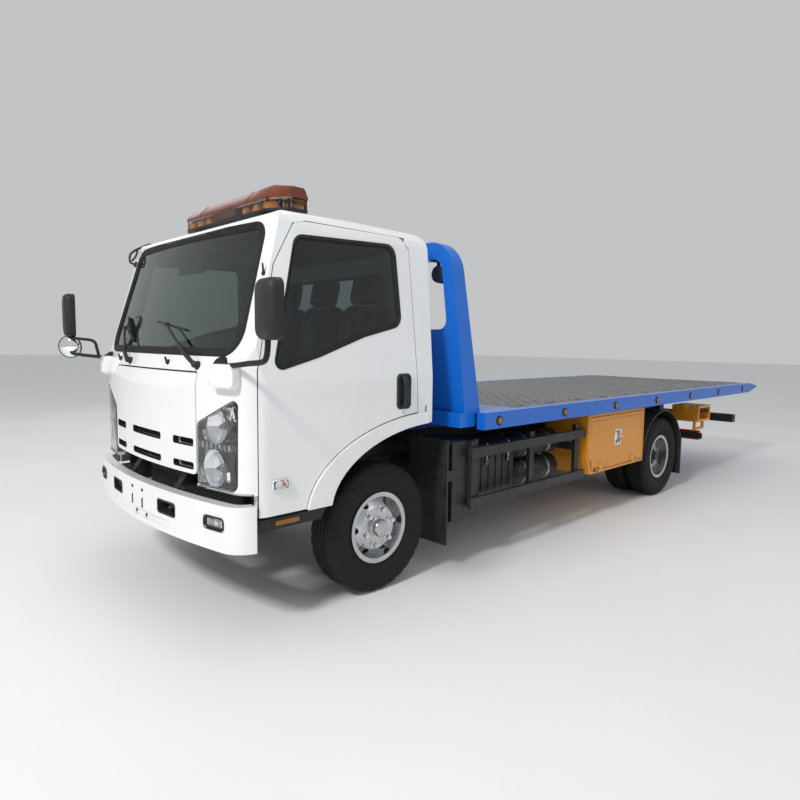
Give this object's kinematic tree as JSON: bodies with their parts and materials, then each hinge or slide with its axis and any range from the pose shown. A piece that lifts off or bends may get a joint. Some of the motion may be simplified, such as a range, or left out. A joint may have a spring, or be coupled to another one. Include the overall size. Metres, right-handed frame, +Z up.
{
  "type": "flatbed tow truck",
  "caption": "Flatbed recovery truck with a tilting cab, a tilting and sliding loading bed, a winch, tool boxes and a rear wheel lift.",
  "frame": {"origin": "on the ground below the middle of the truck's bounding box", "axes": "+X forward, +Y to the driver's left, +Z up"},
  "size_m": [7.694, 2.9829, 2.455],
  "materials": {
    "white_paint": "gloss",
    "blue_paint": "gloss",
    "amber_paint": "gloss",
    "black_steel": "satin",
    "cast_metal": "rough",
    "galvanised": "satin",
    "bright_rod": "polished",
    "wheel_silver": "satin",
    "tyre_rubber": "matte",
    "black_plastic": "matte",
    "trim_grey": "matte",
    "seat_cloth": "woven",
    "clear_glass": "clear",
    "lamp_glass": "clear",
    "amber_lens": "gloss",
    "red_lens": "gloss"
  },
  "bodies": {
    "chassis": {"chassis_frame": "black_steel", "front_axle": "cast_metal", "rear_axle": "cast_metal", "engine": "cast_metal", "front_bumper": "white_paint", "fog_lamps": "lamp_glass", "fuel_tank": "galvanised", "side_guards": "black_steel", "rear_fenders": "black_plastic", "tool_boxes": "amber_paint", "control_boxes": "amber_paint", "tail_lamps": "red_lens"},
    "box_door_left": {"tool_door_left": "amber_paint"},
    "box_door_right": {"tool_door_right": "amber_paint"},
    "tilt_frame": {"tilt_frame": "black_steel"},
    "tilt_barrels": {"tilt_barrels": "cast_metal"},
    "tilt_rods": {"tilt_rods": "bright_rod"},
    "bed": {"bed_deck": "galvanised", "bed_rails": "blue_paint", "bed_sills": "blue_paint", "bed_frame": "blue_paint", "headboard": "blue_paint", "bed_lamps": "amber_lens", "winch": "black_steel"},
    "lift_boom": {"lift_boom": "black_steel"},
    "lift_bar": {"lift_bar": "black_steel"},
    "cab": {"cab_floor": "black_plastic", "cab_back": "white_paint", "cab_roof": "white_paint", "cab_sides": "white_paint", "cab_front": "white_paint", "windscreen": "clear_glass", "rear_glass": "clear_glass", "headlamps": "lamp_glass", "dashboard": "trim_grey", "seats": "seat_cloth", "mirrors": "black_plastic", "wipers": "black_plastic", "light_bar": "amber_lens"},
    "front_lid": {"front_lid": "white_paint"},
    "steering_wheel": {"steering_wheel": "black_plastic"},
    "door_left": {"door_left": "white_paint", "door_glass_left": "clear_glass"},
    "door_right": {"door_right": "white_paint", "door_glass_right": "clear_glass"},
    "knuckle_left": {"knuckle_left": "cast_metal"},
    "knuckle_right": {"knuckle_right": "cast_metal"},
    "tie_rod": {"tie_rod": "cast_metal"},
    "wheel_front_left": {"rim_front_left": "wheel_silver", "tyre_front_left": "tyre_rubber"},
    "wheel_front_right": {"rim_front_right": "wheel_silver", "tyre_front_right": "tyre_rubber"},
    "wheels_rear_left": {"rims_rear_left": "wheel_silver", "tyres_rear_left": "tyre_rubber"},
    "wheels_rear_right": {"rims_rear_right": "wheel_silver", "tyres_rear_right": "tyre_rubber"}
  },
  "joints": [
    {"name": "cab_tilt", "type": "hinge", "parent": "chassis", "child": "cab", "pos_m": [3.717, 0, 0.69], "axis": [0, 1, 0], "range_deg": [0, 40]},
    {"name": "door_left_swing", "type": "hinge", "parent": "cab", "child": "door_left", "pos_m": [3.6, 0.998, 1.2], "axis": [0, 0, -1], "range_deg": [0, 70]},
    {"name": "door_right_swing", "type": "hinge", "parent": "cab", "child": "door_right", "pos_m": [3.6, -0.998, 1.2], "axis": [0, 0, 1], "range_deg": [0, 70]},
    {"name": "lid_lift", "type": "hinge", "parent": "cab", "child": "front_lid", "pos_m": [3.768, 0, 1.375], "axis": [0, -1, 0], "range_deg": [0, 75]},
    {"name": "steer_left", "type": "hinge", "parent": "chassis", "child": "knuckle_left", "pos_m": [2.727, 0.7, 0.403], "axis": [0, 0, 1], "range_deg": [-35, 35]},
    {"name": "steer_right", "type": "hinge", "parent": "chassis", "child": "knuckle_right", "pos_m": [2.727, -0.7, 0.403], "axis": [0, 0, 1], "range_deg": [-35, 35]},
    {"name": "tie_rod_swing", "type": "hinge", "parent": "knuckle_left", "child": "tie_rod", "pos_m": [2.577, 0.7, 0.285], "axis": [0, 0, 1], "range_deg": [-35, 35]},
    {"name": "steering_wheel_turn", "type": "hinge", "parent": "cab", "child": "steering_wheel", "pos_m": [3.227, 0.46, 1.5], "axis": [-0.6428, 0, 0.766], "range_deg": [-500, 500]},
    {"name": "spin_front_left", "type": "hinge", "parent": "knuckle_left", "child": "wheel_front_left", "pos_m": [2.727, 0.84, 0.403], "axis": [0, 1, 0], "continuous": true},
    {"name": "spin_front_right", "type": "hinge", "parent": "knuckle_right", "child": "wheel_front_right", "pos_m": [2.727, -0.84, 0.403], "axis": [0, 1, 0], "continuous": true},
    {"name": "spin_rear_left", "type": "hinge", "parent": "chassis", "child": "wheels_rear_left", "pos_m": [-1.088, 0.9, 0.403], "axis": [0, 1, 0], "continuous": true},
    {"name": "spin_rear_right", "type": "hinge", "parent": "chassis", "child": "wheels_rear_right", "pos_m": [-1.088, -0.9, 0.403], "axis": [0, 1, 0], "continuous": true},
    {"name": "box_left_drop", "type": "hinge", "parent": "chassis", "child": "box_door_left", "pos_m": [-0.06, 1.092, 0.446], "axis": [-1, 0, 0], "range_deg": [0, 95]},
    {"name": "box_right_drop", "type": "hinge", "parent": "chassis", "child": "box_door_right", "pos_m": [-0.06, -1.092, 0.446], "axis": [1, 0, 0], "range_deg": [0, 95]},
    {"name": "bed_tilt", "type": "hinge", "parent": "chassis", "child": "tilt_frame", "pos_m": [-2.523, 0, 0.77], "axis": [0, -1, 0], "range_deg": [0, 12]},
    {"name": "bed_slide", "type": "slide", "parent": "tilt_frame", "child": "bed", "axis": [-1, 0, 0], "range_m": [0, 3.35]},
    {"name": "barrel_swing", "type": "hinge", "parent": "chassis", "child": "tilt_barrels", "pos_m": [-0.898, 0, 0.6], "axis": [0, 1, 0], "range_deg": [0, 8.5]},
    {"name": "rod_stroke", "type": "slide", "parent": "tilt_barrels", "child": "tilt_rods", "axis": [-0.974, 0, 0.2264], "range_m": [0, 0.07]},
    {"name": "lift_lower", "type": "hinge", "parent": "chassis", "child": "lift_boom", "pos_m": [-2.48, 0, 0.6], "axis": [0, -1, 0], "range_deg": [0, 20]},
    {"name": "lift_extend", "type": "slide", "parent": "lift_boom", "child": "lift_bar", "axis": [-1, 0, 0], "range_m": [0, 0.6]}
  ],
  "couplings": [
    {"joint": "steer_right", "follows": "steer_left", "ratio": 1},
    {"joint": "tie_rod_swing", "follows": "steer_left", "ratio": -1},
    {"joint": "steering_wheel_turn", "follows": "steer_left", "ratio": 14},
    {"joint": "barrel_swing", "follows": "bed_tilt", "ratio": 0.6537},
    {"joint": "rod_stroke", "follows": "bed_tilt", "m_per_rad": 0.2941}
  ]
}
